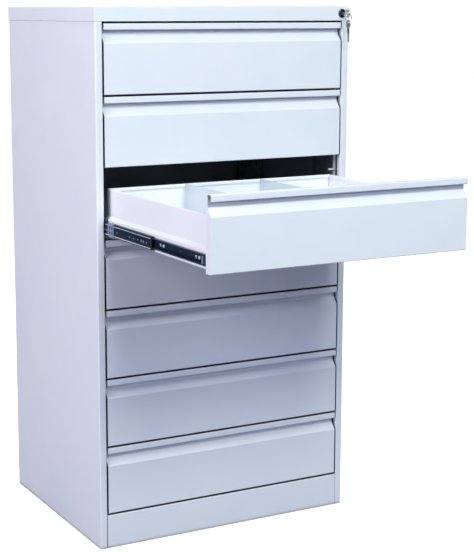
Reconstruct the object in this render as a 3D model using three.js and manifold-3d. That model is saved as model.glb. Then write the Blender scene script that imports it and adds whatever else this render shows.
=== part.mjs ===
// Seven-drawer steel card-index cabinet with the third drawer pulled out.
// Millimetres: X to the right, Y towards the back, Z up. The origin is the middle of the floor pan's
// underside, so the cabinet stands on Z = 0 and its front plane is at Y = -DEPTH / 2.
import * as THREE from "three";
import { mergeVertices } from "three/addons/utils/BufferGeometryUtils.js";
import Module from "manifold-3d";

const wasm = await Module();
wasm.setup();

// ---- Driving dimensions ------------------------------------------------------------------------
const WIDTH = 710;
const DEPTH = 565;
const HEIGHT = 1330;
const SHEET = 1.2; // carcass and drawer-front sheet
const THIN_SHEET = 1; // tray, divider and back sheet
const FIT = 0.3; // gap between pieces that touch
const BEND = 2; // mid-line radius of a fold
const BEND_CLEARANCE = 1; // gap that clears the inside of a fold
const OVERLAP = 0.1; // welded pieces run into each other by at least this much

const DRAWERS = 7;
const OPEN_DRAWER = 3; // counted from the top
const TRAVEL = 526; // full extension of a drawer
const MID_SHARE = 0.52; // how much of the drawer's travel its intermediate slide members make

const CAP_SKIRT = 35.7;
const CAP_PROUD = 1.5; // the lid laps over the sides and back by this much
const CAP_ROUNDING = 3;
const PLINTH = 84.6;
const PAN_EDGE = 25; // upturned edges of the floor pan
const STILE = 18.5; // front flange of a side panel
const STILE_RETURN = 14; // its inner return
const REAR_FLANGE = 16;
const DRAWER_GAP = 4.5;
const SIDE_GAP = 4;

const LIP = 15.5; // height of the grip rail's face
const LIP_RETURN = 7; // fold under the grip rail
const GROOVE_DEPTH = 15; // how far the finger groove goes back
const GROOVE_BACK = 28; // foot of the groove's upright back, below the front's top edge
const CREASE = 47; // where the slope meets the flat face, below the front's top edge
const FRONT_DEPTH = 22; // depth of the front's folded edges

const TRAY_DROP = 48; // tray rim below the front's top edge
const TRAY_LIFT = 5.5; // tray floor above the front's bottom edge
const TRAY_LENGTH = 525;
const TRAY_HALF = 317.5; // half width above the slide
const RAIL_SEAT = 41; // height of the outward step that carries the slide
const RAIL_SLOPE = 8; // height of the slope above that step
const RIM = 4.2; // hemmed rim of the tray
const RIM_HEIGHT = 9;
const HEM_BEND = 1.6; // mid-line radius of the tray's folds
const LANE_LINE = 107; // a divider stands this far left and right of the middle

const SLIDE_LENGTH = 530;
const SLIDE_HEIGHTS = { outer: 42, mid: 32, inner: 24 };
// Where each slide member's web and lips stand, inwards from the uprights
const SLIDE_DEPTHS = { outer: [-0.2, 9.3], mid: [2, 10.2], inner: [12.4, 4.6] };
const SLIDE_THICKNESS = 12.7;
const SLIDE_FRONT = 23; // slide's front end behind the front plane when closed
const SLIDE_CENTRE = 26.5; // slide's middle above the front's bottom edge

const POST_FRONT = [36, 132.5]; // front and back of each upright, behind the front plane
const POST_REAR = [424.5, 520.5];
const POST_SPAN = [30, 1288]; // foot and head of the uprights

const LOCK_X = 335;
const LOCK_Z = HEIGHT - 17.7;
const FLANGE_RADIUS = 11;
const FLANGE_THICKNESS = 2.7;
const SLEEVE_RADIUS = 9;
const SLEEVE_LENGTH = 20;
const BORE_RADIUS = 6.8;
const PLUG_RADIUS = 6.4;
const CAM_HALF_HEIGHT = 5;
const CAM_THICKNESS = 2;
const KEY_THICKNESS = 2.2;
const KEY_HOLE_RADIUS = 3;
const KEY_BOW = [11.5, 10.5]; // half sizes of the key's bow, along and across the key
const SPARE_BOW = [9.5, 10.5]; // half sizes of the hanging key's bow, across and along it
const RING_RADIUS = 9.4;
const RING_WIRE = 0.9;

const BAR_BEHIND_FRONT = [26, 34];
const BAR_BESIDE_OPENING = [0.7, 3.2];
const BAR_FOOT = 60; // the bar ends this far below the lowest drawer's top edge
const TAB_BELOW_TOP = 36; // each tab, below its drawer front's top edge
const TAB_HALF_THICKNESS = 1.25;
const TAB_LENGTH = 6;
const TAB_REACH = 13; // how far a tab comes in past the drawer front's end
const CATCH_BEHIND_FRONT = 35.5;
const CATCH_THICKNESS = 2;
const CATCH_REACH = 12.5; // how far a tray's catch stands out from the tray wall
const CATCH_RISE = 7; // and above its rim

// ---- Derived places ----------------------------------------------------------------------------
const FRONT_Y = -DEPTH / 2;
const HALF_WIDTH = WIDTH / 2;
const CAP_BASE = HEIGHT - CAP_SKIRT;
const PITCH = (CAP_BASE - PLINTH - DRAWER_GAP) / DRAWERS;
const FRONT_HEIGHT = PITCH - DRAWER_GAP;
const OPENING_HALF = HALF_WIDTH - STILE; // between the stiles
const FRONT_HALF = OPENING_HALF - SIDE_GAP;
const RAIL_HALF = OPENING_HALF - SLIDE_THICKNESS; // tray's outer face where the slide is screwed on
const BACK_Y = DEPTH / 2;
const PANEL_TOP = HEIGHT - 4; // side and back panels end just under the lid

const frontTop = (number) => CAP_BASE - DRAWER_GAP - (number - 1) * PITCH;
const slideOut = (number) => (number === OPEN_DRAWER ? TRAVEL : 0);

// ---- Colours -----------------------------------------------------------------------------------
const finishes = {
  paint: { color: 0xd9dde8, roughness: 0.45, metalness: 0.1 },
  trayPaint: { color: 0xe4e6ee, roughness: 0.5, metalness: 0.1 },
  slideZinc: { color: 0x1c2233, roughness: 0.35, metalness: 0.8 },
  chrome: { color: 0xc9ccd2, roughness: 0.2, metalness: 1 },
};

// ---- Solid helpers -----------------------------------------------------------------------------
function solid(geometry) {
  geometry.deleteAttribute("normal");
  geometry.deleteAttribute("uv");
  const merged = mergeVertices(geometry, 1e-4);
  return new wasm.Manifold(
    new wasm.Mesh({
      numProp: 3,
      vertProperties: merged.attributes.position.array,
      triVerts: new Uint32Array(merged.index.array),
    }),
  );
}

// Moves the points on either side of the middle exactly to the low or the high value along one axis.
function stretched(geometry, axis, [low, high], middle = 0) {
  const position = geometry.getAttribute("position");
  const component = { x: 0, y: 1, z: 2 }[axis];
  for (let i = 0; i < position.count; i++) {
    const value = position.getComponent(i, component);
    position.setComponent(i, component, value < middle ? low : high);
  }
  return geometry;
}

function block(xSpan, ySpan, zSpan) {
  const geometry = stretched(new THREE.BoxGeometry(1, 1, 1), "x", xSpan);
  return solid(stretched(stretched(geometry, "y", ySpan), "z", zSpan));
}

// An outline in (X, Y) pushed from low to high along Z, with the axes then set in a new order.
function extrusion(outline, span, order) {
  const shape = outline instanceof THREE.Shape ? outline : new THREE.Shape(outline.map(toVector));
  const geometry = new THREE.ExtrudeGeometry(shape, { depth: 1, bevelEnabled: false });
  const turn = new THREE.Matrix4().set(...order, 0, 0, 0, 1);
  return solid(stretched(geometry, "z", span, 0.5).applyMatrix4(turn));
}

function toVector(point) {
  return point.isVector2 ? point : new THREE.Vector2(point[0], point[1]);
}

// The outline lies in (X, Y) and runs up Z.
function alongZ(outline, span) {
  return extrusion(outline, span, [1, 0, 0, 0, 0, 1, 0, 0, 0, 0, 1, 0]);
}

// The outline lies in (X, Z) and runs along Y.
function alongY(outline, [low, high]) {
  return extrusion(outline, [-high, -low], [1, 0, 0, 0, 0, 0, -1, 0, 0, 1, 0, 0]);
}

// The outline lies in (Y, Z) and runs along X.
function alongX(outline, span) {
  return extrusion(outline, span, [0, 0, 1, 0, 1, 0, 0, 0, 0, 1, 0, 0]);
}

function rodAlongY([x, z], radius, [y0, y1], sides = 24) {
  const geometry = new THREE.CylinderGeometry(radius, radius, y1 - y0, sides);
  return solid(geometry.translate(x, (y0 + y1) / 2, z));
}

function joined(...pieces) {
  return pieces.reduce((whole, piece) => whole.add(piece));
}

// Outline of a sheet folded along its mid-line: straight runs joined by round bends.
function folded(path, thickness, radius = BEND, steps = 3) {
  const corners = path.map(toVector);
  const stations = [];
  const addStation = (point, angle) => stations.push({ point, angle });
  const headings = corners.slice(1).map((corner, i) => corner.clone().sub(corners[i]).angle());
  addStation(corners[0], headings[0]);
  for (let i = 1; i < corners.length - 1; i++) {
    let turn = headings[i] - headings[i - 1];
    turn = Math.atan2(Math.sin(turn), Math.cos(turn));
    const tangent = radius * Math.tan(Math.abs(turn) / 2);
    const side = Math.sign(turn);
    const entry = new THREE.Vector2(tangent, 0).rotateAround(new THREE.Vector2(), headings[i - 1]);
    const start = corners[i].clone().sub(entry);
    const toCentre = new THREE.Vector2(0, side * radius);
    const centre = toCentre.rotateAround(new THREE.Vector2(), headings[i - 1]).add(start);
    for (let step = 0; step <= steps; step++) {
      const sweep = (turn * step) / steps;
      addStation(start.clone().rotateAround(centre, sweep), headings[i - 1] + sweep);
    }
  }
  addStation(corners.at(-1), headings.at(-1));
  const offset = ({ point, angle }, distance) => {
    const moved = new THREE.Vector2(0, distance).rotateAround(new THREE.Vector2(), angle).add(point);
    return moved.multiplyScalar(1000).round().divideScalar(1000);
  };
  const leftSide = stations.map((station) => offset(station, thickness / 2));
  const rightSide = stations.map((station) => offset(station, -thickness / 2));
  return [...rightSide, ...leftSide.reverse()];
}

const cabinet = new THREE.Group();

function addPart(name, body, finish) {
  const mesh = body.asOriginal().simplify(0.005).getMesh();
  const geometry = new THREE.BufferGeometry();
  geometry.setAttribute("position", new THREE.BufferAttribute(mesh.vertProperties, 3));
  geometry.setIndex(new THREE.BufferAttribute(mesh.triVerts, 1));
  geometry.computeVertexNormals();
  const part = new THREE.Mesh(geometry, new THREE.MeshStandardMaterial(finish));
  part.name = name;
  cabinet.add(part);
}

// Left is -1 and right is +1; outlines are drawn for the right side and mirrored for the left.
const SIDES = { left: -1, right: 1 };
const mirrored = (path, side) => path.map(([x, y]) => [side * x, y]);

// ---- Carcass -----------------------------------------------------------------------------------
function sidePanel(side) {
  const half = SHEET / 2;
  const path = [
    [OPENING_HALF + half, FRONT_Y + STILE_RETURN],
    [OPENING_HALF + half, FRONT_Y + half],
    [HALF_WIDTH - half, FRONT_Y + half],
    [HALF_WIDTH - half, BACK_Y - THIN_SHEET - FIT - half],
    [HALF_WIDTH - REAR_FLANGE, BACK_Y - THIN_SHEET - FIT - half],
  ];
  const panel = alongZ(folded(mirrored(path, side), SHEET), [0, PANEL_TOP]);
  const capSpace = block(
    [-HALF_WIDTH - 1, HALF_WIDTH + 1],
    [FRONT_Y - 1, FRONT_Y + STILE_RETURN + FIT],
    [CAP_BASE - FIT, HEIGHT],
  );
  return panel.subtract(capSpace);
}

// A block whose long top edges are rounded in both directions.
function roundedTop([x0, x1], [y0, y1], [z0, z1], radius) {
  const arch = (low, high) => {
    const shape = new THREE.Shape();
    shape.moveTo(low, z0).lineTo(high, z0).lineTo(high, z1 - radius);
    shape.absarc(high - radius, z1 - radius, radius, 0, Math.PI / 2, false);
    shape.lineTo(low + radius, z1);
    shape.absarc(low + radius, z1 - radius, radius, Math.PI / 2, Math.PI, false);
    return new THREE.Shape(shape.getPoints(3));
  };
  return alongX(arch(y0, y1), [x0, x1]).intersect(alongY(arch(x0, x1), [y0, y1]));
}

function topCap() {
  const half = HALF_WIDTH + CAP_PROUD;
  const back = BACK_Y + CAP_PROUD;
  const outside = roundedTop([-half, half], [FRONT_Y, back], [CAP_BASE, HEIGHT], CAP_ROUNDING);
  const hollow = roundedTop(
    [-half + SHEET, half - SHEET],
    [FRONT_Y + SHEET, back - SHEET],
    [CAP_BASE - 1, HEIGHT - SHEET],
    CAP_ROUNDING - SHEET,
  );
  const frontReturn = block(
    [-OPENING_HALF, OPENING_HALF],
    [FRONT_Y + SHEET / 2, FRONT_Y + STILE_RETURN - 2],
    [CAP_BASE, CAP_BASE + SHEET],
  );
  const lockHole = rodAlongY([LOCK_X, LOCK_Z], SLEEVE_RADIUS + 0.4, [FRONT_Y - 1, FRONT_Y + SHEET + 1]);
  return joined(outside.subtract(hollow), frontReturn).subtract(lockHole);
}

function backPanel() {
  const half = HALF_WIDTH - 0.5;
  return block([-half, half], [BACK_Y - THIN_SHEET, BACK_Y], [2, PANEL_TOP]);
}

// Floor pan: a plate with upturned edges, whose front edge rises to form the plinth.
function basePan() {
  const wallHalf = HALF_WIDTH - SHEET - BEND_CLEARANCE;
  const plinthHalf = OPENING_HALF - 2 * FIT;
  const back = BACK_Y - THIN_SHEET - SHEET - FIT - BEND_CLEARANCE;
  const behindStile = FRONT_Y + STILE_RETURN + 2 * FIT;
  const half = SHEET / 2;
  const rightPlate = [
    [plinthHalf - half, FRONT_Y + half],
    [plinthHalf - half, behindStile],
    [wallHalf - half, behindStile],
    [wallHalf - half, back - half],
  ];
  const plinthPath = [
    [FRONT_Y + half, half],
    [FRONT_Y + half, PLINTH - half],
    [FRONT_Y + STILE_RETURN, PLINTH - half],
  ];
  return joined(
    alongZ([...rightPlate, ...mirrored(rightPlate, -1).reverse()], [0, SHEET]),
    alongX(folded(plinthPath, SHEET), [-plinthHalf, plinthHalf]),
    block([-wallHalf, -wallHalf + SHEET], [behindStile + half, back], [half, PAN_EDGE]),
    block([wallHalf - SHEET, wallHalf], [behindStile + half, back], [half, PAN_EDGE]),
    block([-wallHalf + half, wallHalf - half], [back - SHEET, back + OVERLAP], [half, PAN_EDGE - 1]),
  );
}

// ---- Slides ------------------------------------------------------------------------------------
// Channel section in (X, Z): depths are measured inwards from the faces of the uprights.
function slideMember(side, kind, centreZ, frontY) {
  const [webDepth, lipDepth] = SLIDE_DEPTHS[kind];
  const height = SLIDE_HEIGHTS[kind];
  const inwards = (depth) => side * (OPENING_HALF - depth);
  const [top, bottom] = [centreZ + height / 2, centreZ - height / 2];
  const web = webDepth + Math.sign(lipDepth - webDepth) * SHEET;
  const outline = [
    [inwards(webDepth), bottom],
    [inwards(lipDepth), bottom],
    [inwards(lipDepth), bottom + SHEET],
    [inwards(web), bottom + SHEET],
    [inwards(web), top - SHEET],
    [inwards(lipDepth), top - SHEET],
    [inwards(lipDepth), top],
    [inwards(webDepth), top],
  ];
  return alongY(outline, [frontY, frontY + SLIDE_LENGTH]);
}

const slideZ = (number) => frontTop(number) - FRONT_HEIGHT + SLIDE_CENTRE;

function upright(side, [front, back]) {
  const half = SHEET / 2;
  const foot = HALF_WIDTH - SHEET - FIT;
  const path = [
    [foot, FRONT_Y + front + half],
    [OPENING_HALF + half, FRONT_Y + front + half],
    [OPENING_HALF + half, FRONT_Y + back - half],
    [foot, FRONT_Y + back - half],
  ];
  return alongZ(folded(mirrored(path, side), SHEET, 1.5, 2), POST_SPAN);
}

// Two uprights on a side wall and the seven outer slide members that they carry.
function slideRack(side) {
  const members = Array.from({ length: DRAWERS }, (_, i) =>
    slideMember(side, "outer", slideZ(i + 1), FRONT_Y + SLIDE_FRONT),
  );
  return joined(upright(side, POST_FRONT), upright(side, POST_REAR), ...members);
}

// ---- Drawers -----------------------------------------------------------------------------------
// Bent sheet with a grip rail, a finger groove, a slope and a flat face, closed by two end plates.
function drawerFront(number) {
  const top = frontTop(number);
  const bottom = top - FRONT_HEIGHT;
  const face = FRONT_Y - slideOut(number);
  const half = SHEET / 2;
  const back = face + FRONT_DEPTH;
  const path = [
    [face + LIP_RETURN, top - LIP + half],
    [face + half, top - LIP + half],
    [face + half, top - half],
    [face + GROOVE_DEPTH + half, top - half],
    [face + GROOVE_DEPTH + half, top - GROOVE_BACK],
    [face + half, top - CREASE],
    [face + half, bottom + half],
    [back, bottom + half],
  ];
  const endOutline = [
    [face + half, bottom + half],
    [back, bottom + half],
    [back, top - half],
    [face + GROOVE_DEPTH + half, top - half],
    [face + GROOVE_DEPTH + half, top - GROOVE_BACK],
    [face + half, top - CREASE],
  ];
  return joined(
    alongX(folded(path, SHEET, 1.8), [-FRONT_HALF, FRONT_HALF]),
    alongX(endOutline, [-FRONT_HALF, -FRONT_HALF + SHEET]),
    alongX(endOutline, [FRONT_HALF - SHEET, FRONT_HALF]),
  );
}

const trayRim = (number) => frontTop(number) - TRAY_DROP;
const trayFloor = (number) => frontTop(number) - FRONT_HEIGHT + TRAY_LIFT;
const trayFrontY = (number) => FRONT_Y - slideOut(number) + FRONT_DEPTH + FIT;

// Folded tray whose sides step outwards at the foot to meet the slides, with a hemmed rim all round.
function drawerTray(number) {
  const rim = trayRim(number);
  const floor = trayFloor(number);
  const front = trayFrontY(number);
  const back = front + TRAY_LENGTH;
  const half = THIN_SHEET / 2;
  const rightSide = [
    [RAIL_HALF - half, floor + half],
    [RAIL_HALF - half, floor + RAIL_SEAT],
    [TRAY_HALF - half, floor + RAIL_SEAT + RAIL_SLOPE],
  ];
  const rightHem = [
    [TRAY_HALF - half, rim - half],
    [TRAY_HALF - RIM + half, rim - half],
    [TRAY_HALF - RIM + half, rim - RIM_HEIGHT],
  ];
  const rightSection = [...rightSide, ...rightHem];
  const section = [...mirrored(rightSection, -1).reverse(), ...rightSection];
  const rightWall = [...rightSide, [TRAY_HALF - half, rim - RIM_HEIGHT]];
  const wall = [...rightWall, ...mirrored(rightWall, -1).reverse()];
  const endHem = (outer, inwards) => {
    const top = rim - OVERLAP - half;
    const path = [
      [outer + inwards * half, rim - 3 * RIM_HEIGHT],
      [outer + inwards * half, top],
      [outer + inwards * (RIM - half), top],
      [outer + inwards * (RIM - half), rim - RIM_HEIGHT + 1],
    ];
    return alongX(folded(path, THIN_SHEET, HEM_BEND, 1), [-TRAY_HALF + half, TRAY_HALF - half]);
  };
  return joined(
    alongY(folded(section, THIN_SHEET, HEM_BEND, 1), [front, back]),
    alongY(wall, [front + OVERLAP, front + THIN_SHEET + OVERLAP]),
    alongY(wall, [back - THIN_SHEET - OVERLAP, back - OVERLAP]),
    endHem(front - OVERLAP, 1),
    endHem(back + OVERLAP, -1),
    lockCatch(number),
  );
}

// Upstanding ear on the tray's right rim that the lock bar's tab drops in front of.
function lockCatch(number) {
  const rim = trayRim(number);
  const start = FRONT_Y - slideOut(number) + CATCH_BEHIND_FRONT;
  const across = [TRAY_HALF - THIN_SHEET / 2, TRAY_HALF + CATCH_REACH];
  return block(across, [start, start + CATCH_THICKNESS], [rim - RIM_HEIGHT, rim + CATCH_RISE]);
}

// Two card dividers folded from one sheet, which lies on the tray's floor between them.
function dividerInsert(number) {
  const half = THIN_SHEET / 2;
  const floor = trayFloor(number) + THIN_SHEET + FIT + half;
  const rim = trayRim(number);
  const path = [
    [-LANE_LINE, rim],
    [-LANE_LINE, floor],
    [LANE_LINE, floor],
    [LANE_LINE, rim],
  ];
  const front = trayFrontY(number) + RIM + FIT;
  const back = trayFrontY(number) + TRAY_LENGTH - RIM - FIT;
  return alongY(folded(path, THIN_SHEET, 1.6, 2), [front, back]);
}

function addDrawer(number) {
  addPart(`drawer_${number}_front`, drawerFront(number), finishes.paint);
  addPart(`drawer_${number}_tray`, drawerTray(number), finishes.trayPaint);
  addPart(`drawer_${number}_dividers`, dividerInsert(number), finishes.trayPaint);
  const closedY = FRONT_Y + SLIDE_FRONT;
  const out = slideOut(number);
  for (const [sideName, side] of Object.entries(SIDES)) {
    const z = slideZ(number);
    const inner = slideMember(side, "inner", z, closedY - out);
    const mid = slideMember(side, "mid", z, closedY - MID_SHARE * out);
    addPart(`drawer_${number}_slide_inner_${sideName}`, inner, finishes.slideZinc);
    addPart(`drawer_${number}_slide_mid_${sideName}`, mid, finishes.slideZinc);
  }
}

// ---- Central lock ------------------------------------------------------------------------------
const PLUG_FACE = FRONT_Y - 2.4;
const KEY_HOLE_Y = FRONT_Y - 29.5;
const BAR_X = BAR_BESIDE_OPENING.map((distance) => OPENING_HALF + distance);
const BAR_Y = BAR_BEHIND_FRONT.map((distance) => FRONT_Y + distance);
const BAR_TOP = CAP_BASE + 1.7;

function lockBarrel() {
  const front = FRONT_Y - FIT - FLANGE_THICKNESS;
  const back = FRONT_Y + SLEEVE_LENGTH;
  const flange = rodAlongY([LOCK_X, LOCK_Z], FLANGE_RADIUS, [front, front + FLANGE_THICKNESS]);
  const sleeve = rodAlongY([LOCK_X, LOCK_Z], SLEEVE_RADIUS, [front + 1, back]);
  const bore = rodAlongY([LOCK_X, LOCK_Z], BORE_RADIUS, [front - 1, back + 1]);
  return joined(flange, sleeve).subtract(bore);
}

// A flat piece of a key, standing across X.
function keyPlate(ySpan, zSpan) {
  return block([LOCK_X - KEY_THICKNESS / 2, LOCK_X + KEY_THICKNESS / 2], ySpan, zSpan);
}

// A key's bow: a flat oval standing across X.
function keyBow(centreY, centreZ, [radiusY, radiusZ]) {
  const oval = new THREE.Shape();
  oval.absellipse(centreY, centreZ, radiusY, radiusZ, 0, Math.PI * 2, false);
  const outline = oval.getPoints(5).slice(0, -1);
  return alongX(outline, [LOCK_X - KEY_THICKNESS / 2, LOCK_X + KEY_THICKNESS / 2]);
}

// The lock's turning plug with its cam, and the key that stays in it.
function keyAndPlug() {
  const camBack = FRONT_Y + SLEEVE_LENGTH + 4;
  const camY = [camBack - CAM_THICKNESS, camBack];
  const camZ = [LOCK_Z - CAM_HALF_HEIGHT, LOCK_Z + CAM_HALF_HEIGHT];
  const plug = rodAlongY([LOCK_X, LOCK_Z], PLUG_RADIUS, [PLUG_FACE, camBack]);
  const cam = block([LOCK_X - 22, LOCK_X + CAM_HALF_HEIGHT], camY, camZ);
  const neck = keyPlate([PLUG_FACE - 17.6, PLUG_FACE + 0.4], [LOCK_Z - 3.5, LOCK_Z + 3.5]);
  const bow = keyBow(PLUG_FACE - 22.6, LOCK_Z, KEY_BOW);
  const drill = new THREE.CylinderGeometry(KEY_HOLE_RADIUS, KEY_HOLE_RADIUS, 8, 16).rotateZ(Math.PI / 2);
  return joined(plug, cam, neck, bow).subtract(solid(drill.translate(LOCK_X, KEY_HOLE_Y, LOCK_Z)));
}

// Split ring through the key's bow, with the spare key hanging from it.
function keyBunch() {
  const ringZ = LOCK_Z - KEY_HOLE_RADIUS + RING_WIRE + FIT - RING_RADIUS;
  const ring = new THREE.TorusGeometry(RING_RADIUS, RING_WIRE, 6, 24).rotateX(Math.PI / 2);
  const spareTop = ringZ - RING_RADIUS + 4;
  const shoulderTop = spareTop - 2 * SPARE_BOW[1] + 3;
  const bladeTop = shoulderTop - 12;
  return joined(
    solid(ring.translate(LOCK_X, KEY_HOLE_Y, ringZ)),
    keyBow(KEY_HOLE_Y, spareTop - SPARE_BOW[1], SPARE_BOW),
    keyPlate([KEY_HOLE_Y - 4.5, KEY_HOLE_Y + 4.5], [bladeTop - 1, shoulderTop]),
    keyPlate([KEY_HOLE_Y - 3.2, KEY_HOLE_Y + 3.2], [bladeTop - 26, bladeTop]),
  );
}

// Flat bar that slides down behind the right stile, with one bent tab for each drawer.
function lockBar() {
  const bar = block(BAR_X, BAR_Y, [frontTop(DRAWERS) - BAR_FOOT, BAR_TOP]);
  const tabs = Array.from({ length: DRAWERS }, (_, i) => {
    const z = frontTop(i + 1) - TAB_BELOW_TOP;
    const along = [BAR_Y[0] + OVERLAP, BAR_Y[0] + TAB_LENGTH];
    const across = [FRONT_HALF - TAB_REACH, BAR_X[0] + 1];
    return block(across, along, [z - TAB_HALF_THICKNESS, z + TAB_HALF_THICKNESS]);
  });
  return joined(bar, ...tabs);
}

// ---- Assembly ----------------------------------------------------------------------------------
addPart("top_cap", topCap(), finishes.paint);
addPart("back_panel", backPanel(), finishes.paint);
addPart("base_pan", basePan(), finishes.paint);
for (const [sideName, side] of Object.entries(SIDES)) {
  addPart(`side_panel_${sideName}`, sidePanel(side), finishes.paint);
  addPart(`slide_rack_${sideName}`, slideRack(side), finishes.slideZinc);
}
for (let number = 1; number <= DRAWERS; number++) addDrawer(number);
addPart("lock_barrel", lockBarrel(), finishes.chrome);
addPart("key_and_plug", keyAndPlug(), finishes.chrome);
addPart("key_bunch", keyBunch(), finishes.chrome);
addPart("lock_bar", lockBar(), finishes.trayPaint);

export default cabinet;
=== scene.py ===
"""Looks of the seven-drawer card-index cabinet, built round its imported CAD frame.

Metres, X to the right, Y towards the back, Z up. The third drawer stands open at rest.
"""

import math

import bmesh
import bpy
from mathutils import Matrix, Vector


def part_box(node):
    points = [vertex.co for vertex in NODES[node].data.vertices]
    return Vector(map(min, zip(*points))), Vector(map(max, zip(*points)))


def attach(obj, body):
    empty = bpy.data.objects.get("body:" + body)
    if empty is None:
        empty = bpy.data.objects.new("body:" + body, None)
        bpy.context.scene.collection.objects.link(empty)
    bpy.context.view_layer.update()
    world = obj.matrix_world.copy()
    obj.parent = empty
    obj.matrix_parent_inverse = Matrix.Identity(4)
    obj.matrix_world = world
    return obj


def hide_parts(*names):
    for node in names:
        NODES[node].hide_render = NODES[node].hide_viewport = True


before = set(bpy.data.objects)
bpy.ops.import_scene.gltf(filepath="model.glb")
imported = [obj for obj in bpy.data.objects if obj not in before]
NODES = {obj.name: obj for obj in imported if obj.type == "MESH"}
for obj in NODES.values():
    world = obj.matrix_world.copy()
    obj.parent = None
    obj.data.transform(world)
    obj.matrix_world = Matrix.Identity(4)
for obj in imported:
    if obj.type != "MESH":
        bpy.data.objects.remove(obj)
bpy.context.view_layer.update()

MM = 0.001
DRAWERS = range(1, 8)
SIDES = {"left": -1, "right": 1}
OPENING_HALF = 336.5 * MM  # half the width between the stiles
INSIDE_HALF = 354.4 * MM  # half the width inside the side panels' outer skins
INSIDE_Y = (-264 * MM, 282 * MM)  # from behind the stiles' faces to the back panel's outer face


# ---- Materials -----------------------------------------------------------------------------------
def new_material(name):
    """A node material holding only a shader and its output."""
    material = bpy.data.materials.new(name)
    material.use_nodes = True
    tree = material.node_tree
    tree.nodes.clear()
    shader = tree.nodes.new("ShaderNodeBsdfPrincipled")
    output = tree.nodes.new("ShaderNodeOutputMaterial")
    tree.links.new(shader.outputs["BSDF"], output.inputs["Surface"])
    return material, tree, shader


def add_node(tree, kind, **settings):
    """A node with properties, and sockets whose names are given with spaces as underscores."""
    node = tree.nodes.new(kind)
    for key, value in settings.items():
        socket = node.inputs.get(key.replace("_", " "))
        if socket is not None and not hasattr(node, key):
            socket.default_value = value
        else:
            setattr(node, key, value)
    return node


def noise(tree, scale, detail=3.0, roughness=0.5, stretch=None):
    """Noise in the piece's own coordinates; stretch scales the axes first."""
    coords = add_node(tree, "ShaderNodeTexCoord")
    texture = add_node(
        tree, "ShaderNodeTexNoise", Scale=scale, Detail=detail, Roughness=roughness
    )
    if stretch is None:
        tree.links.new(coords.outputs["Object"], texture.inputs["Vector"])
    else:
        mapping = add_node(tree, "ShaderNodeMapping", Scale=stretch)
        tree.links.new(coords.outputs["Object"], mapping.inputs["Vector"])
        tree.links.new(mapping.outputs["Vector"], texture.inputs["Vector"])
    return texture.outputs["Fac"]


def spread(tree, source, low, high, start=0.3, end=0.7):
    """A value that runs from low to high as the source goes from start to end."""
    node = add_node(tree, "ShaderNodeMapRange")
    tree.links.new(source, node.inputs["Value"])
    settings = {"From Min": start, "From Max": end, "To Min": low, "To Max": high}
    for socket, value in settings.items():
        node.inputs[socket].default_value = value
    return node.outputs["Result"]


def product(tree, first, second):
    """One value times another."""
    node = add_node(tree, "ShaderNodeMath", operation="MULTIPLY")
    tree.links.new(first, node.inputs[0])
    tree.links.new(second, node.inputs[1])
    return node.outputs["Value"]


def mixed(tree, factor, first, second):
    """A colour between two colours, either of which may come from a socket."""
    node = add_node(tree, "ShaderNodeMix", data_type="RGBA")
    tree.links.new(factor, node.inputs["Factor"])
    for socket, value in ((node.inputs[6], first), (node.inputs[7], second)):
        if isinstance(value, bpy.types.NodeSocket):
            tree.links.new(value, socket)
        else:
            socket.default_value = (*value, 1.0)
    return node.outputs[2]


def add_bump(tree, shader, layers):
    """Bump from several (height, distance, strength) layers."""
    previous = None
    for height, distance, strength in layers:
        node = add_node(tree, "ShaderNodeBump", Distance=distance, Strength=strength)
        tree.links.new(height, node.inputs["Height"])
        if previous is not None:
            tree.links.new(previous, node.inputs["Normal"])
        previous = node.outputs["Normal"]
    tree.links.new(previous, shader.inputs["Normal"])


def edge_highlight_mask(tree, radius):
    """1 along outer edges and 0 on flat faces, from how far a rounded normal leans; it places
    painted edge highlights.
    """
    rounded = add_node(tree, "ShaderNodeBevel", samples=4, Radius=radius)
    geometry = add_node(tree, "ShaderNodeNewGeometry")
    lean = add_node(tree, "ShaderNodeVectorMath", operation="DOT_PRODUCT")
    tree.links.new(rounded.outputs["Normal"], lean.inputs[0])
    tree.links.new(geometry.outputs["Normal"], lean.inputs[1])
    return spread(tree, lean.outputs["Value"], 1.0, 0.0, start=0.72, end=0.985)


def crevice_shade(tree, base, reach):
    """Darkens a colour in narrow gaps and tight inner corners: painted shade, deepest where the
    surface is most closed in.
    """
    hollow = add_node(tree, "ShaderNodeAmbientOcclusion", samples=6, Distance=reach)
    depth = spread(tree, hollow.outputs["AO"], 0.98, 0.0, start=0.24, end=0.84)
    return mixed(tree, depth, base, CREVICE_SHADE)


def inner_shade_mask(tree):
    """1 on the carcass's hidden inner faces and 0 outside, from the place in the cabinet; it lays
    painted shade on those faces.
    """
    coords = add_node(tree, "ShaderNodeTexCoord")
    place = add_node(tree, "ShaderNodeSeparateXYZ")
    tree.links.new(coords.outputs["Object"], place.inputs[0])
    across = add_node(tree, "ShaderNodeMath", operation="ABSOLUTE")
    tree.links.new(place.outputs["X"], across.inputs[0])
    (front, back), sharp, soft = INSIDE_Y, 0.2 * MM, 2 * MM  # sharp and soft: half of each step
    sides = spread(
        tree, across.outputs["Value"], 1.0, 0.0, INSIDE_HALF - sharp, INSIDE_HALF + sharp
    )
    ahead = spread(tree, place.outputs["Y"], 0.0, 1.0, front - soft, front + soft)
    behind = spread(tree, place.outputs["Y"], 1.0, 0.0, back - sharp, back + sharp)
    return product(tree, product(tree, sides, ahead), behind)


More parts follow.
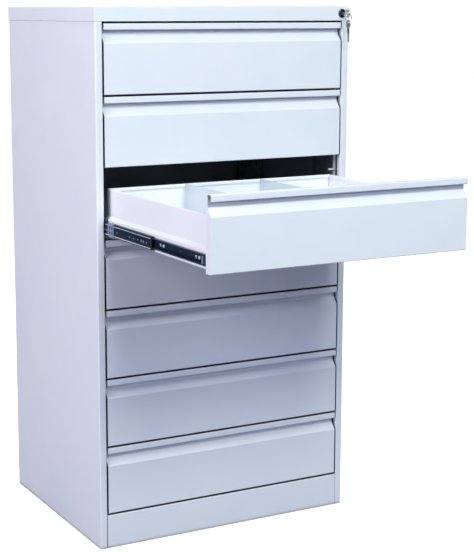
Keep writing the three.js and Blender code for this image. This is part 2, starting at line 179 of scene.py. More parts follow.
def powder_coat(name, colour, tint, roughness, crevice, inner=None):
    """Fine-textured powder coat: orange peel, faint mottling and specks, with paler outer edges as
    painted highlights and painted shade in gaps and on any inner faces.
    """
    material, tree, shader = new_material(name)
    mottle = noise(tree, scale=7.0, detail=4.0, roughness=0.55)
    grain = noise(tree, scale=2600.0, detail=2.0, roughness=0.6)
    base = mixed(tree, spread(tree, mottle, 0.0, 1.0, start=0.35, end=0.65), colour, tint)
    speck = tuple(c * 0.93 for c in colour)
    base = mixed(tree, spread(tree, grain, 0.0, 0.55, start=0.58, end=0.72), base, speck)
    # Paler outer edges, broken into patches: a painted highlight.
    pale = tuple(min(1.0, c * 1.05 + 0.03) for c in colour)
    patches = spread(tree, noise(tree, scale=60.0), 0.25, 0.9, start=0.4, end=0.6)
    base = mixed(tree, product(tree, edge_highlight_mask(tree, 0.8 * MM), patches), base, pale)
    # Painted shade inside the carcass: its inner faces take a darker colour.
    if inner is not None:
        base = mixed(tree, inner_shade_mask(tree), base, inner)
    # Painted shade: the colour darkens in gaps and inner corners.
    tree.links.new(crevice_shade(tree, base, crevice), shader.inputs["Base Color"])
    scuffs = noise(tree, scale=22.0, detail=5.0, roughness=0.65)
    gloss = spread(tree, scuffs, roughness - 0.06, roughness + 0.08)
    tree.links.new(gloss, shader.inputs["Roughness"])
    shader.inputs["Specular IOR Level"].default_value = 0.45
    peel = noise(tree, scale=620.0, detail=2.0)
    add_bump(tree, shader, ((peel, 0.25 * MM, 0.16), (grain, 0.08 * MM, 0.2)))
    return material


def plated(name, colour, tint, roughness, metallic=1.0, scratches=0.35):
    """Plated metal with drawing marks along Y, faint blooms of colour and brighter edges as painted
    highlights.
    """
    material, tree, shader = new_material(name)
    bloom = noise(tree, scale=38.0, detail=4.0, roughness=0.6)
    marks = noise(tree, scale=1.0, roughness=0.7, stretch=(900.0, 12.0, 900.0))
    base = mixed(tree, spread(tree, bloom, 0.0, 1.0, start=0.35, end=0.65), colour, tint)
    # Brighter edges: a painted highlight.
    bright = tuple(min(1.0, c * 1.5 + 0.2) for c in colour)
    edge_highlight = spread(tree, edge_highlight_mask(tree, 0.6 * MM), 0.0, 0.75, start=0.0, end=1.0)
    tree.links.new(mixed(tree, edge_highlight, base, bright), shader.inputs["Base Color"])
    shader.inputs["Metallic"].default_value = metallic
    gloss = spread(tree, marks, roughness - 0.08, roughness + 0.1)
    tree.links.new(gloss, shader.inputs["Roughness"])
    add_bump(tree, shader, ((marks, 0.05 * MM, scratches),))
    return material


def moulded(name, colour, roughness):
    """Moulded plastic or rubber with flow marks and a fine spark-eroded grain."""
    material, tree, shader = new_material(name)
    grain = noise(tree, scale=1500.0, detail=2.0, roughness=0.6)
    flow = noise(tree, scale=90.0)
    pale = tuple(c * 1.6 + 0.01 for c in colour)
    base = mixed(tree, spread(tree, flow, 0.0, 1.0), colour, pale)
    tree.links.new(base, shader.inputs["Base Color"])
    gloss = spread(tree, flow, roughness - 0.05, roughness + 0.08)
    tree.links.new(gloss, shader.inputs["Roughness"])
    add_bump(tree, shader, ((grain, 0.1 * MM, 0.3),))
    return material


# Near-black tone of the painted shade in gaps and inner corners.
CREVICE_SHADE = (0.004, 0.009, 0.022)
OUTSIDE = ((0.74, 0.76, 0.835), (0.71, 0.74, 0.825))
TRAY = ((0.80, 0.815, 0.885), (0.78, 0.80, 0.88))
DIVIDER = ((0.55, 0.615, 0.67), (0.52, 0.595, 0.65))
# The length after the roughness is how far the painted shade in gaps reaches.
PAINT = powder_coat("cabinet_powder_coat", *OUTSIDE, 0.42, 14 * MM)
# The carcass's inner faces are darkened as painted shade inside the cabinet.
CARCASS_PAINT = powder_coat(
    "carcass_powder_coat", *OUTSIDE, 0.42, 14 * MM, inner=(0.32, 0.335, 0.365)
)
TRAY_PAINT = powder_coat("tray_powder_coat", *TRAY, 0.46, 2.5 * MM)
DIVIDER_PAINT = powder_coat("divider_powder_coat", *DIVIDER, 0.46, 2.5 * MM)
ZINC = plated("black_zinc", (0.014, 0.034, 0.082), (0.021, 0.045, 0.10), 0.36, 0.75)
GALVANISED = plated("galvanised_steel", (0.20, 0.21, 0.23), (0.27, 0.28, 0.30), 0.48, 0.6)
BALL_STEEL = plated("ball_steel", (0.70, 0.71, 0.73), (0.62, 0.64, 0.68), 0.16, 1.0, 0.05)
BRIGHT_ZINC = plated("bright_zinc", (0.80, 0.82, 0.88), (0.72, 0.76, 0.84), 0.42, 0.45)
CAGE_STEEL = plated("cage_steel", (0.30, 0.38, 0.52), (0.24, 0.32, 0.46), 0.42, 0.55)
CHROME = plated("lock_chrome_plate", (0.12, 0.13, 0.16), (0.09, 0.10, 0.13), 0.2, 1.0, 0.05)
NICKEL = plated("key_nickel_plate", (0.50, 0.50, 0.52), (0.42, 0.42, 0.44), 0.32, 0.9, 0.3)
WORN_NICKEL = plated(
    "worn_nickel_plate", (0.36, 0.36, 0.37), (0.28, 0.28, 0.29), 0.26, 1.0, 0.3
)
BLACK_PLASTIC = moulded("black_plastic", (0.012, 0.012, 0.014), 0.42)
RUBBER = moulded("grey_rubber", (0.05, 0.05, 0.055), 0.75)


# ---- Mesh helpers --------------------------------------------------------------------------------
def millimetres(points):
    """Points given in millimetres, in metres."""
    return [tuple(value * MM for value in point) for point in points]


def unfold(path, thickness, radius, steps):
    """Outline of a strip bent along its mid-line: straight runs joined by round bends."""
    points = [Vector(p) for p in path]
    stations = []
    headings = [math.atan2(*(b - a).yx) for a, b in zip(points, points[1:])]
    stations.append((points[0], headings[0]))
    for i in range(1, len(points) - 1):
        turn = (headings[i] - headings[i - 1] + math.pi) % (2 * math.pi) - math.pi
        if abs(turn) < 1e-6:
            continue
        side = math.copysign(1.0, turn)
        ahead = Vector((math.cos(headings[i - 1]), math.sin(headings[i - 1])))
        start = points[i] - ahead * radius * math.tan(abs(turn) / 2)
        centre = start + Vector((-ahead.y, ahead.x)) * side * radius
        for step in range(steps + 1):
            sweep = turn * step / steps
            spoke = Matrix.Rotation(sweep, 2) @ (start - centre)
            stations.append((centre + spoke, headings[i - 1] + sweep))
    stations.append((points[-1], headings[-1]))

    def offset(station, distance):
        point, angle = station
        return point + Vector((-math.sin(angle), math.cos(angle))) * distance

    right = [offset(s, -thickness / 2) for s in stations]
    left = [offset(s, thickness / 2) for s in stations]
    return right + left[::-1]


def add_prism(bm, outline, start, end, material=0, along="y"):
    """Adds a closed prism, along Y with its outline in (X, Z) or along X with it in (Y, Z)."""
    if along == "y":
        ends = [[bm.verts.new((a, d, b)) for a, b in outline] for d in (start, end)]
    else:
        ends = [[bm.verts.new((d, a, b)) for a, b in outline] for d in (start, end)]
    faces = [bm.faces.new(ends[0]), bm.faces.new(ends[1][::-1])]
    count = len(outline)
    for i in range(count):
        j = (i + 1) % count
        faces.append(bm.faces.new((ends[0][i], ends[1][i], ends[1][j], ends[0][j])))
    for face in faces:
        face.material_index = material


def add_box(bm, xs, ys, zs, material=0):
    """Adds a closed box between two values on each axis."""
    (x0, x1), (z0, z1) = xs, zs
    add_prism(bm, [(x0, z0), (x1, z0), (x1, z1), (x0, z1)], *ys, material)


def add_turned(bm, centre, axis, profile, segments, material=0, ring=False):
    """Adds a turned piece: profile holds (radius, distance along the axis), from end to end.

    With ring set the profile closes on itself instead of on end faces.
    """
    turn = Vector((0, 0, 1)).rotation_difference(Vector(axis)).to_matrix()
    rings = []
    for radius, along in profile:
        if radius == 0.0:
            rings.append([bm.verts.new(Vector(centre) + turn @ Vector((0, 0, along)))])
            continue
        loop = []
        for k in range(segments):
            a = 2 * math.pi * k / segments
            point = Vector((radius * math.cos(a), radius * math.sin(a), along))
            loop.append(bm.verts.new(Vector(centre) + turn @ point))
        rings.append(loop)
    faces = []
    if ring:
        rings.append(rings[0])
    for lower, upper in zip(rings, rings[1:]):
        for k in range(segments):
            m = (k + 1) % segments
            corners = [loop[i % len(loop)] for loop, i in (
                (lower, k), (lower, m), (upper, m), (upper, k),
            )]
            faces.append(bm.faces.new(list(dict.fromkeys(corners))))
    for loop in () if ring else (rings[0], rings[-1]):
        if len(loop) > 1:
            faces.append(bm.faces.new(loop if loop is rings[-1] else loop[::-1]))
    for face in faces:
        face.material_index = material


def add_wire(bm, points, radius, segments=8):
    """Adds a round wire that follows the points."""
    rings = []
    turns = [2 * math.pi * k / segments for k in range(segments)]
    for i, point in enumerate(points):
        ahead = (points[min(i + 1, len(points) - 1)] - points[max(i - 1, 0)]).normalized()
        side = ahead.cross(Vector((0, 1, 0))).normalized()
        up = side.cross(ahead)
        spokes = [side * math.cos(a) + up * math.sin(a) for a in turns]
        rings.append([bm.verts.new(point + radius * spoke) for spoke in spokes])
    bm.faces.new(rings[0])
    bm.faces.new(rings[-1][::-1])
    for lower, upper in zip(rings, rings[1:]):
        for k in range(segments):
            m = (k + 1) % segments
            bm.faces.new((lower[k], upper[k], upper[m], lower[m]))


def oval(centre, radii, count=40):
    """Points (Y, Z) round an oval."""
    (y, z), (wide, tall) = centre, radii
    turns = [2 * math.pi * k / count for k in range(count)]
    return [(y + wide * math.cos(a), z + tall * math.sin(a)) for a in turns]


def add_coined(bm, x, loops):
    """Adds a pierced plate across X: loops of (points, half thickness) from edge to hole."""
    sides = [
        [[bm.verts.new((x + way * half, y, z)) for y, z in points] for points, half in loops]
        for way in (-1, 1)
    ]
    count = len(loops[0][0])
    for k in range(count):
        m = (k + 1) % count
        for side in sides:
            for outer, inner in zip(side, side[1:]):
                bm.faces.new((outer[k], outer[m], inner[m], inner[k]))
        for end in (0, -1):
            left, right = sides[0][end], sides[1][end]
            bm.faces.new((left[k], left[m], right[m], right[k]))


def add_ball(bm, centre, radius, material):
    """Adds a ball."""
    steps = 6
    angles = [math.pi * i / steps for i in range(1, steps)]
    profile = [(radius * math.sin(a), -radius * math.cos(a)) for a in angles]
    profile = [(0.0, -radius), *profile, (0.0, radius)]
    add_turned(bm, centre, (0, 0, 1), profile, 10, material)


def add_screw(bm, centre, axis, radius, height, material=0):
    """Adds a pan-head screw with a round recess."""
    profile = [
        (1.0, 0.0), (1.0, 0.45), (0.9, 0.8), (0.68, 1.0), (0.30, 1.0), (0.22, 0.35), (0.0, 0.3),
    ]
    profile = [(radius * out, height * up) for out, up in profile]
    add_turned(bm, centre, axis, profile, 16, material)


def make_piece(name, bm, materials, body):
    """Turns bm into a piece that rides on a body."""
    bmesh.ops.remove_doubles(bm, verts=bm.verts, dist=1e-7)
    bmesh.ops.recalc_face_normals(bm, faces=bm.faces)
    mesh = bpy.data.meshes.new(name)
    bm.to_mesh(mesh)
    bm.free()
    for material in materials:
        mesh.materials.append(material)
    mesh.polygons.foreach_set("use_smooth", [True] * len(mesh.polygons))
    piece = bpy.data.objects.new(name, mesh)
    bpy.context.scene.collection.objects.link(piece)
    mesh.set_sharp_from_angle(angle=math.radians(35))
    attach(piece, body)
    return piece


def dress_node(node, material):
    """Gives a CAD node its finish, with eased edges and smooth bends."""
    piece = NODES[node]
    piece.data.materials.clear()
    piece.data.materials.append(material)
    piece.data.polygons.foreach_set("use_smooth", [True] * len(piece.data.polygons))
    weld = piece.modifiers.new("weld", "WELD")
    weld.merge_threshold = 2e-6
    bevel = piece.modifiers.new("edges", "BEVEL")
    bevel.width = 0.3 * MM
    bevel.segments = 2
    bevel.limit_method = "ANGLE"
    bevel.angle_limit = math.radians(50)
    bevel.use_clamp_overlap = True
    normals = piece.modifiers.new("normals", "WEIGHTED_NORMAL")
    normals.keep_sharp = False
    normals.weight = 90


# ---- Slides --------------------------------------------------------------------------------------
# Sections are in (depth, Z): depth inwards from a side of the opening, Z from the slide's centre.
# Places along a member are in millimetres behind its front end.
OUTER_PATH = millimetres([
    (8.7, 16.8), (8.7, 20.4), (0.4, 20.4), (0.4, -20.4), (8.7, -20.4), (8.7, -16.8),
])
MID_PATH = millimetres([
    (9.6, 12.9), (9.6, 15.4), (2.6, 15.4), (2.6, 14.0), (3.9, 11.9), (3.9, 10.9), (2.6, 9.4),
    (2.6, -9.4), (3.9, -10.9), (3.9, -11.9), (2.6, -14.0), (2.6, -15.4), (9.6, -15.4),
    (9.6, -12.9),
])
# Slopes of the intermediate member that face up and outwards, where balls polish the plating; their
# bright strips are also a painted highlight of the light these slopes catch from above.
POLISHED_AND_HIGHLIT_SLOPES = (((3.9, 10.9), (2.6, 9.4)), ((3.9, -11.9), (2.6, -14.0)))
INNER_PATH = millimetres([
    (5.2, 8.8), (5.2, 11.4), (11.8, 11.4), (11.8, -11.4), (5.2, -11.4), (5.2, -8.8),
])
CAGE_RAIL = millimetres([(1.5, 12.4), (1.5, 16.6), (7.6, 16.6)])
INNER_RAIL = millimetres([(9.0, 12.55), (5.6, 12.55)])
BUMPER = millimetres([
    (2.1, 15.9), (9.4, 15.9), (9.4, 12.7), (4.2, 12.7),
    (4.2, -12.7), (9.4, -12.7), (9.4, -15.9), (2.1, -15.9),
])
SLIDE_SHEET = 1.2 * MM
SLIDE_BEND = 0.9 * MM
INNER_SCREWS = (39, 207, 430)
TAB_BEHIND_SCREW = 15
INNER_HOLES = (80, 130, 270, 330, 380, 480)
INNER_STOPS = ((2, 13), (14, 21))  # a plastic catch, then a steel one
CAGE_START, CAGE_LENGTH = 201 * MM, 31 * MM
CAGE_BALL_PITCH = 5.2 * MM
MID_DIMPLES = (  # place, radius
    (24, 2.4), (70, 2.0), (92, 2.4), (115, 2.4), (182, 2.4), (300, 2.4), (420, 2.4),
)
MID_SLOTS = (41, 52, 240, 251)
INNER_BALLS = range(12, 90, 6)
SLIDE_Y = (-259.5 * MM, 270.5 * MM)
POSTS = ((-246.5 * MM, -150.0 * MM), (142.0 * MM, 238.0 * MM))
POST_Z = (30 * MM, 1288 * MM)
POST_SHEET = 1.2 * MM
POST_FOOT = 353.5 * MM  # how far out the uprights' flanges reach, against the side panels


def at_depth(side, depth):
    """X at a depth in millimetres inwards from a side of the opening."""
    return side * (OPENING_HALF - depth * MM)


def between(side, *depths):
    """The two X values at two depths, the lower first."""
    return sorted(at_depth(side, depth) for depth in depths)


def placed(points, side, z, way=1):
    """A section's points at a side and a slide's centre height; way -1 turns it over."""
    return [(side * (OPENING_HALF - depth), z + way * height) for depth, height in points]


def rolled(bm, path, side, z, y0, y1):
    """A roll-formed slide member with rounded bends."""
    outline = unfold(path, SLIDE_SHEET, SLIDE_BEND, 4)
    add_prism(bm, placed(outline, side, z), y0, y1)


def ring_plate(bm, place, side, hole, rim, height, material):
    """A punched hole's raised rim, facing outwards."""
    profile = [(hole, 0.0), (hole, height), (rim * 0.85, height), (rim, 0.0)]
    add_turned(bm, place, (side, 0, 0), profile, 16, material, ring=True)


def lanced_tab(bm, place, side, size, height, material):
    """A small tapered tab pushed out of a slide's web, pointing down."""
    x, y, z = place
    tip = size * 0.25
    outline = [(y - size, z + size), (y + size, z + size), (y + tip, z - size), (y - tip, z - size)]
    add_prism(bm, outline, *sorted((x, x + side * height)), material, along="x")


def slide_ends(node):
    """A slide member's front and rear Y, and its centre height."""
    low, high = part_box(node)
    return low.y, high.y, (low.z + high.z) / 2


def inner_member(number, side_name, side):
    """The member on the drawer, with its screws, tabs, punched holes and front catches."""
    zinc, bright, black, steel = range(4)
    node = f"drawer_{number}_slide_inner_{side_name}"
    front, rear, z = slide_ends(node)
    bm = bmesh.new()
    rolled(bm, INNER_PATH, side, z, front, rear)
    web = at_depth(side, 11.2)
    for start in INNER_SCREWS:
        place = (web, front + start * MM, z + 0.6 * MM)
        add_screw(bm, place, (side, 0, 0), 3.9 * MM, 2.3 * MM, bright)
        place = (web, front + (start + TAB_BEHIND_SCREW) * MM, z + 0.6 * MM)
        lanced_tab(bm, place, side, 3.4 * MM, 1.2 * MM, bright)
    for start in INNER_HOLES:
        place = (web, front + start * MM, z)
        ring_plate(bm, place, side, 2.2 * MM, 3.4 * MM, 0.4 * MM, zinc)
    lug, tall = between(side, 11.3, 5.4), 9.5 * MM
    for (start, end), material in zip(INNER_STOPS, (black, steel)):
        add_box(bm, lug, (front + start * MM, front + end * MM), (z - tall, z + tall), material)
    materials = (ZINC, BRIGHT_ZINC, BLACK_PLASTIC, CAGE_STEEL)
    piece = make_piece(f"{node}_rolled", bm, materials, f"drawer_{number}")
    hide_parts(node)


def ball_cage(bm, side, z, y0, cage_material, ball_material):
    """Pressed cage of the outer race: a pierced web between two rails that hold rows of balls."""
    y1 = y0 + CAGE_LENGTH
    for z0, z1 in ((9.4, 12.6), (-1.6, 1.6), (-12.6, -9.4)):
        add_box(bm, between(side, 1.3, 1.8), (y0, y1), (z + z0 * MM, z + z1 * MM), cage_material)
    for start, end in ((0.0, 0.2), (0.4, 0.6), (0.8, 1.0)):
        ys = (y0 + start * CAGE_LENGTH, y0 + end * CAGE_LENGTH)
        add_box(bm, between(side, 1.2, 1.7), ys, (z - 12.6 * MM, z + 12.6 * MM), cage_material)
    rail = unfold(CAGE_RAIL, 0.5 * MM, 0.6 * MM, 3)
    for way in (-1, 1):
        add_prism(bm, placed(rail, side, z, way), y0, y1, cage_material)
        for k in range(int(CAGE_LENGTH / CAGE_BALL_PITCH)):
            centre = (at_depth(side, 5.4), y0 + CAGE_BALL_PITCH * (k + 0.5), z + way * 17.95 * MM)
            add_ball(bm, centre, 1.75 * MM, ball_material)


def polished_and_highlight_strip(bm, side, z, ends, y0, y1, material):
    """A thin bright strip along a slope of the intermediate member's web: polished track and
    painted highlight.
    """
    first, last = (Vector(end) * MM for end in ends)
    along = (last - first).normalized()
    outwards = Vector((-abs(along.y), abs(along.x)))
    corners = []
    for base, height in ((first, 0.58), (last, 0.58), (last, 0.7), (first, 0.7)):
        inset = along * (0.25 * MM if base is first else -0.25 * MM)
        corners.append(tuple(base + inset + outwards * height * MM))
    add_prism(bm, placed(corners, side, z), y0, y1, material)


def web_stampings(bm, side, z, front, material):
    """Dimples and slots stamped into the intermediate member's web."""
    web = at_depth(side, 2.1)
    for start, radius in MID_DIMPLES:
        place = (web, front + start * MM, z - 1.5 * MM)
        ring_plate(bm, place, side, 0.5 * radius * MM, radius * MM, 0.35 * MM, material)
    half, bottom, top = 2.4, z - 4.5 * MM, z + 1.5 * MM
    for start in MID_SLOTS:
        near, far = front + (start - half) * MM, front + (start + half) * MM
        slot = [(near, bottom), (far, bottom), (far, top), (near, top)]
        add_prism(bm, slot, *sorted((web, web + side * 0.3 * MM)), material, along="x")


def mid_member(number, side_name, side):
    """The intermediate member, with its ball cages, bright strips of polish and painted highlight
    on its slopes, stampings and bumper.
    """
    _, bright, ball, black, steel = range(5)
    node = f"drawer_{number}_slide_mid_{side_name}"
    front, end, z = slide_ends(node)
    rear = end - 5 * MM  # clear of the outer member's rear stop when the drawer is shut
    bm = bmesh.new()
    rolled(bm, MID_PATH, side, z, front + 3 * MM, rear)
    # Bright strips on the up-facing slopes: polished track and painted highlight.
    for slope in POLISHED_AND_HIGHLIT_SLOPES:
        polished_and_highlight_strip(bm, side, z, slope, front + 6 * MM, rear - 2 * MM, bright)
    ball_cage(bm, side, z, front + CAGE_START, steel, ball)
    web_stampings(bm, side, z, front, steel)
    rail = unfold(INNER_RAIL, 0.4 * MM, 0.3 * MM, 2)
    for way in (-1, 1):
        add_prism(bm, placed(rail, side, z, way), front + 8 * MM, front + 90 * MM, bright)
        for start in INNER_BALLS:
            centre = (at_depth(side, 6.6), front + start * MM, z + way * 13.6 * MM)
            add_ball(bm, centre, 1.15 * MM, ball)
    add_prism(bm, placed(BUMPER, side, z), front + 0.3 * MM, front + 3.4 * MM, black)
    materials = (ZINC, BRIGHT_ZINC, BALL_STEEL, BLACK_PLASTIC, CAGE_STEEL)
    piece = make_piece(f"{node}_rolled", bm, materials, f"slide_mids_{number}")
    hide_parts(node)


def outer_members(side_name, side):
    """The seven members fixed to a side's uprights, with rivets and rear stops."""
    _, bright, rubber = range(3)
    rivet = millimetres([(3.4, 0.0), (3.0, 0.35), (1.2, 0.6), (0.0, 0.6)])
    inset = 20 * MM  # of the rivets, from an upright's edges
    rear = SLIDE_Y[1] - 3 * MM
    bm = bmesh.new()
    for number in DRAWERS:
        z = slide_ends(f"drawer_{number}_slide_inner_left")[2]
        rolled(bm, OUTER_PATH, side, z, *SLIDE_Y)
        for y0, y1 in POSTS:
            for y in (y0 + inset, y1 - inset):
                add_turned(bm, (at_depth(side, 1.0), y, z), (-side, 0, 0), rivet, 14, bright)
        stop = between(side, 0.9, 7.5)
        add_box(bm, stop, (rear, rear + 1.2 * MM), (z - 8 * MM, z + 8 * MM), rubber)
    materials = (ZINC, BRIGHT_ZINC, RUBBER)
    make_piece(f"outer_slides_{side_name}", bm, materials, "root")


def upright_posts(side_name, side):
    """Two uprights a side: channels with a ladder of slots for hooking slides in."""
    bm = bmesh.new()
    flange = sorted((side * (OPENING_HALF + 0.6 * MM), side * POST_FOOT))
    for y0, y1 in POSTS:
        add_box(bm, flange, (y0, y0 + POST_SHEET), POST_Z)
        add_box(bm, flange, (y1 - POST_SHEET, y1), POST_Z)
        slotted_face(bm, side, y0, y1)
    piece = make_piece(f"uprights_{side_name}", bm, (GALVANISED,), "root")
    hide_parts(f"slide_rack_{side_name}")


def slotted_face(bm, side, y0, y1):
    """The face of an upright: a plate with two columns of slots cut through it."""
    bottom, top = POST_Z
    rows = int((top - bottom) / (24.6 * MM))
    pitch = (top - bottom) / rows
    inner, outer = 22 * MM, 27 * MM  # a column of slots lies between these, from each edge
    ys = [y0, y0 + inner, y0 + outer, y1 - outer, y1 - inner, y1]
    xs = (side * OPENING_HALF, side * (OPENING_HALF + POST_SHEET))
    columns = (1, 3)
    grid = {}

    def vert(i, j, k):
        key = (i, j, k)
        if key not in grid:
            row, part = divmod(j, 3)
            z = bottom + pitch * (row + (0.0, 0.25, 0.75)[part])
            grid[key] = bm.verts.new((xs[k], ys[i], z))
        return grid[key]

    def solid(i, j):
        inside = 0 <= i < len(ys) - 1 and 0 <= j < 3 * rows
        return inside and not (i in columns and j % 3 == 1)

    for i in range(len(ys) - 1):
        for j in range(3 * rows):
            if not solid(i, j):
                continue
            corners = ((i, j), (i + 1, j), (i + 1, j + 1), (i, j + 1))
            for k in (0, 1):
                bm.faces.new([vert(*corner, k) for corner in corners])
            for a, b, near in (
                ((i, j), (i, j + 1), (i - 1, j)), ((i + 1, j), (i + 1, j + 1), (i + 1, j)),
                ((i, j), (i + 1, j), (i, j - 1)), ((i, j + 1), (i + 1, j + 1), (i, j + 1)),
            ):
                if not solid(*near):
                    bm.faces.new((vert(*a, 0), vert(*b, 0), vert(*b, 1), vert(*a, 1)))


# ---- Lock and keys -------------------------------------------------------------------------------
LOCK = Vector((335.0, -282.5, 1312.3)) * MM  # where the lock's axis meets the front plane
KEY_HALF = 1.1 * MM  # half a key's thickness
KEY_HOLE = LOCK + Vector((0, -29.5, 0)) * MM
RING_RADIUS = 9.4 * MM
RING_CENTRE = KEY_HOLE - Vector((0, 0, 1.8 * MM + RING_RADIUS))
RING_TURNS, RING_STEPS = 2, 96
BARREL = millimetres([  # radius, distance in front of the front plane
    (6.8, -20.0), (6.8, 1.9), (7.2, 2.5), (8.0, 2.85), (9.4, 3.0), (10.2, 2.8),
    (10.8, 2.3), (11.0, 1.6), (11.0, 0.35), (9.0, 0.3), (9.0, -20.0),
])
PLUG = millimetres([(0.0, -24.0), (6.4, -24.0), (6.4, 1.2), (5.9, 1.7), (0.0, 1.7)])
PLUG_FACE = LOCK.y - 1.7 * MM
CAM = millimetres([
    (5.0, -5.0), (5.0, 5.0), (-16.0, 5.0), (-20.5, 3.4), (-22.0, 0.0), (-20.5, -3.4),
    (-16.0, -5.0),
])
NECK = millimetres([  # the key's grooved blade, where it leaves the plug
    (-1.1, -3.5), (1.1, -3.5), (1.1, -1.3), (0.55, -0.9), (0.55, 0.3), (1.1, 0.7),
    (1.1, 3.5), (-1.1, 3.5), (-1.1, 2.2), (-0.55, 1.8), (-0.55, 0.6), (-1.1, 0.2),
])
BLADE_CUTS = [  # height from the blade's shoulder, depth of the cut
    (-23.0, 0.0), (-21.4, 1.2), (-19.8, 1.2), (-18.2, 0.3), (-16.6, 1.9), (-14.8, 1.9),
    (-13.0, 0.6), (-11.4, 1.5), (-9.6, 1.5), (-8.0, 0.2), (-6.2, 2.2), (-4.6, 2.2),
    (-3.0, 0.0), (-1.2, 0.0),
]
BLADE = [
    (-4.5, 12.5), (-4.5, 0.0), (-3.2, -1.2), (-3.2, -23.5), (-1.6, -26.0), (0.6, -26.0),
    *((3.2 - depth, z) for z, depth in BLADE_CUTS), (4.5, 0.0), (4.5, 12.5),
]
BLADE_RIBS = ((-3.0, -1.6), (-0.6, 0.5))


def lock_barrel():
    """Flange and sleeve of the cam lock, turned from one piece."""
    bm = bmesh.new()
    add_turned(bm, LOCK, (0, -1, 0), BARREL, 48, ring=True)
    piece = make_piece("lock_barrel_turned", bm, (CHROME,), "root")
    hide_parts("lock_barrel")


def bow_loops(centre, radii, hole, hole_radius):
    """A key bow's loops: eased edge, raised rim, coined field and countersunk hole."""
    edge = [(0.0, 0.72), (0.4, 1.0), (2.0, 1.0), (2.5, 0.72)]
    loops = [
        (oval(centre, (radii[0] - inset * MM, radii[1] - inset * MM)), share * KEY_HALF)
        for inset, share in edge
    ]
    for extra, share in ((0.5, 0.72), (0.0, 0.45)):
        radius = hole_radius + extra * MM
        loops.append((oval(hole, (radius, radius)), share * KEY_HALF))
    return loops


def key_and_plug():
    """The plug with its keyway, the cam behind it, and the key that stays in it."""
    key, chrome = range(2)
    bm = bmesh.new()
    add_turned(bm, LOCK, (0, -1, 0), PLUG, 40, chrome)
    radius = 6.0 * MM
    arc = [math.radians(-73 + 146 * k / 14) for k in range(15)]
    for way in (-1, 1):
        half = [(LOCK.x + way * radius * math.cos(a), LOCK.z + radius * math.sin(a)) for a in arc]
        add_prism(bm, half, PLUG_FACE - 0.7 * MM, PLUG_FACE, chrome)
    cam = [(LOCK.x + x, LOCK.z + z) for x, z in CAM]
    add_prism(bm, cam, LOCK.y + 22 * MM, LOCK.y + 24 * MM, key)
    neck = [(LOCK.x + x, LOCK.z + z) for x, z in NECK]
    add_prism(bm, neck, LOCK.y - 19.5 * MM, LOCK.y - 1.8 * MM, key)
    bow = (LOCK.y - 25 * MM, LOCK.z)
    add_coined(bm, LOCK.x, bow_loops(bow, (11.5 * MM, 10.5 * MM), KEY_HOLE.yz, 3 * MM))
    piece = make_piece("key_and_plug_machined", bm, (NICKEL, CHROME), "key")
    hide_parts("key_and_plug")


def key_bunch():
    """Split ring of two turns of wire, with the spare key hanging from it."""
    bm = bmesh.new()
    coil = []
    for i in range(RING_STEPS + 1):
        angle = 2 * math.pi * RING_TURNS * i / RING_STEPS + math.radians(200)
        rise = (i / RING_STEPS - 0.5) * RING_TURNS * 0.95 * MM
        spoke = Vector((math.cos(angle), 0, math.sin(angle))) * RING_RADIUS
        coil.append(RING_CENTRE + spoke + Vector((0, rise, 0)))
    add_wire(bm, coil, 0.46 * MM)
    top = RING_CENTRE.z - RING_RADIUS + 4 * MM  # of the spare key's bow
    bow, hole = (KEY_HOLE.y, top - 10.5 * MM), (KEY_HOLE.y, top - 5.3 * MM)
    add_coined(bm, LOCK.x, bow_loops(bow, (9.5 * MM, 10.5 * MM), hole, 2.1 * MM))
    shoulder = top - 30 * MM
    blade = [(KEY_HOLE.y + y * MM, shoulder + z * MM) for y, z in BLADE]
    add_prism(bm, blade, LOCK.x - 0.7 * MM, LOCK.x + 0.7 * MM, along="x")
    for y0, y1 in BLADE_RIBS:
        rib = [(y0, -24.0), (y1, -24.0), (y1, 10.0), (y0, 10.0)]
        rib = [(KEY_HOLE.y + y * MM, shoulder + z * MM) for y, z in rib]
        add_prism(bm, rib, LOCK.x - KEY_HALF, LOCK.x + KEY_HALF, along="x")
    piece = make_piece("key_bunch_wire_and_spare", bm, (WORN_NICKEL,), "key_bunch")
    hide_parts("key_bunch")


def back_screws():
    """Pan-head screws that hold the back panel to the carcass."""
    bm = bmesh.new()
    places = [(x, z) for x in (-346, 346) for z in (70, 370, 680, 990, 1270)]
    places += [(x, z) for x in (-175, 0, 175) for z in (70, 1270)]
    for x, z in places:
        add_screw(bm, (x * MM, 282.5 * MM, z * MM), (0, 1, 0), 3.8 * MM, 1.4 * MM)
    make_piece("back_screws", bm, (BRIGHT_ZINC,), "root")


# ---- Build ---------------------------------------------------------------------------------------
for node in ("top_cap", "back_panel", "base_pan", "side_panel_left", "side_panel_right"):
    dress_node(node, CARCASS_PAINT)
for number in DRAWERS:
    dress_node(f"drawer_{number}_front", PAINT)
    dress_node(f"drawer_{number}_tray", TRAY_PAINT)
    dress_node(f"drawer_{number}_dividers", DIVIDER_PAINT)
    for side_name, side in SIDES.items():
        inner_member(number, side_name, side)
        mid_member(number, side_name, side)
for side_name, side in SIDES.items():
    outer_members(side_name, side)
    upright_posts(side_name, side)
dress_node("lock_bar", TRAY_PAINT)
lock_barrel()
key_and_plug()
key_bunch()
back_screws()


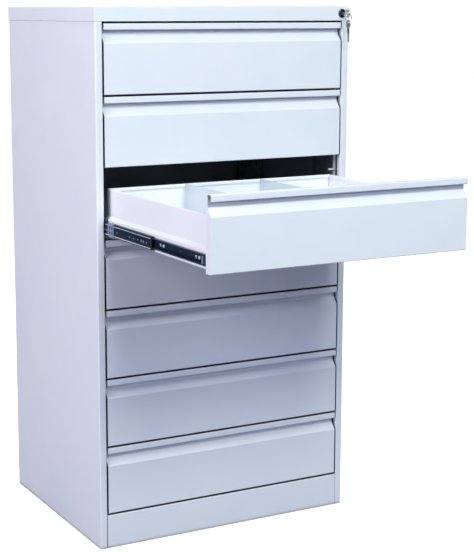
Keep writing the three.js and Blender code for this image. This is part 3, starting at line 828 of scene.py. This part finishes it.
# ---- Studio --------------------------------------------------------------------------------------
FLOOR_HALF = 60.0
FLOOR_DROP = 0.3 * MM  # below the cabinet's feet
FLOOR_COLOURS = ((0.25, 0.256, 0.325), (0.26, 0.266, 0.335))
FLOOR_GLOW = (0.84, 1.0)  # near the cabinet and away from it
FLOOR_GLOW_REACH = (0.9, 2.6)
WHITE = (1.0, 1.0, 1.0)
BLACK = (0.0, 0.0, 0.0)
SOFTBOXES = {  # place, target, size, power, colour
    "high": ((0.1, -3.4, 3.4), (0, -0.3, 0.5), (1.8, 1.0), 118, (0.935, 1.0, 0.88)),
    "front": ((0.1, -4.2, 2.3), (0, -0.3, 0.6), (2.6, 1.0), 49, (0.65, 0.76, 1.0)),
    "left": ((-3.6, -0.9, 2.5), (0, 0, 0.9), (2.2, 1.8), 150, (0.96, 0.955, 1.0)),
    "right": ((3.5, 1.0, 2.2), (0, 0.2, 0.9), (2.0, 1.8), 95, (0.95, 0.96, 1.0)),
    "rear": ((0.4, 3.2, 3.3), (0, 0.28, 0.9), (2.2, 1.8), 95, (0.95, 0.96, 1.0)),
}


def build_floor():
    """A large pale floor; the lens sees it brighter than the light it sends back up."""
    mesh = bpy.data.meshes.new("floor")
    half = FLOOR_HALF
    corners = [(-half, -half, 0), (half, -half, 0), (half, half, 0), (-half, half, 0)]
    mesh.from_pydata(corners, [], [(0, 1, 2, 3)])
    floor = bpy.data.objects.new("floor", mesh)
    bpy.context.scene.collection.objects.link(floor)
    floor.location.z = -FLOOR_DROP
    material, tree, shader = new_material("studio_floor")
    shade = mixed(tree, noise(tree, scale=1.3), *FLOOR_COLOURS)
    tree.links.new(shade, shader.inputs["Base Color"])
    shader.inputs["Roughness"].default_value = 0.8
    shader.inputs["Emission Color"].default_value = (*WHITE, 1.0)
    coords = add_node(tree, "ShaderNodeTexCoord")
    distance = add_node(tree, "ShaderNodeVectorMath", operation="LENGTH")
    tree.links.new(coords.outputs["Object"], distance.inputs[0])
    glow = spread(tree, distance.outputs["Value"], *FLOOR_GLOW, *FLOOR_GLOW_REACH)
    rays = add_node(tree, "ShaderNodeLightPath")
    seen = product(tree, rays.outputs["Is Camera Ray"], glow)
    tree.links.new(seen, shader.inputs["Emission Strength"])
    mesh.materials.append(material)


def add_softbox(name, place, target, size, power, colour):
    """A rectangular soft light that faces its target."""
    light = bpy.data.lights.new(name, "AREA")
    light.shape = "RECTANGLE"
    light.size, light.size_y = size
    light.energy = power
    light.color = colour
    lamp = bpy.data.objects.new(name, light)
    bpy.context.scene.collection.objects.link(lamp)
    lamp.location = place
    lamp.rotation_mode = "QUATERNION"
    lamp.rotation_quaternion = (Vector(place) - Vector(target)).to_track_quat("Z", "Y")
    lamp.visible_camera = False


def build_world():
    """A plain white backdrop where the lens sees past the floor; it lights nothing."""
    world = bpy.data.worlds.new("studio")
    bpy.context.scene.world = world
    world.use_nodes = True
    tree = world.node_tree
    background = tree.nodes["Background"]
    rays = add_node(tree, "ShaderNodeLightPath")
    shade = mixed(tree, rays.outputs["Is Camera Ray"], BLACK, WHITE)
    tree.links.new(shade, background.inputs["Color"])
    background.inputs["Strength"].default_value = 1.0


build_floor()
build_world()
for name, settings in SOFTBOXES.items():
    add_softbox(name, *settings)

scene = bpy.context.scene
scene.view_settings.view_transform = "Standard"
scene.view_settings.look = "None"

camera_data = bpy.data.cameras.new("camera")
camera = bpy.data.objects.new("camera", camera_data)
scene.collection.objects.link(camera)
scene.camera = camera
camera_data.sensor_width = 36.0
camera_data.lens = 90.8
image_height = 552
camera_data.shift_x = 37 / image_height
camera_data.shift_y = -38 / image_height
camera_data.clip_start = 0.05
camera_data.clip_end = 200.0
camera.location = (-1.6865, -3.2936, 1.3165)
yaw, pitch = math.radians(28.128), math.radians(9.231)
camera.rotation_euler = (math.radians(90) - pitch, 0.0, -yaw)
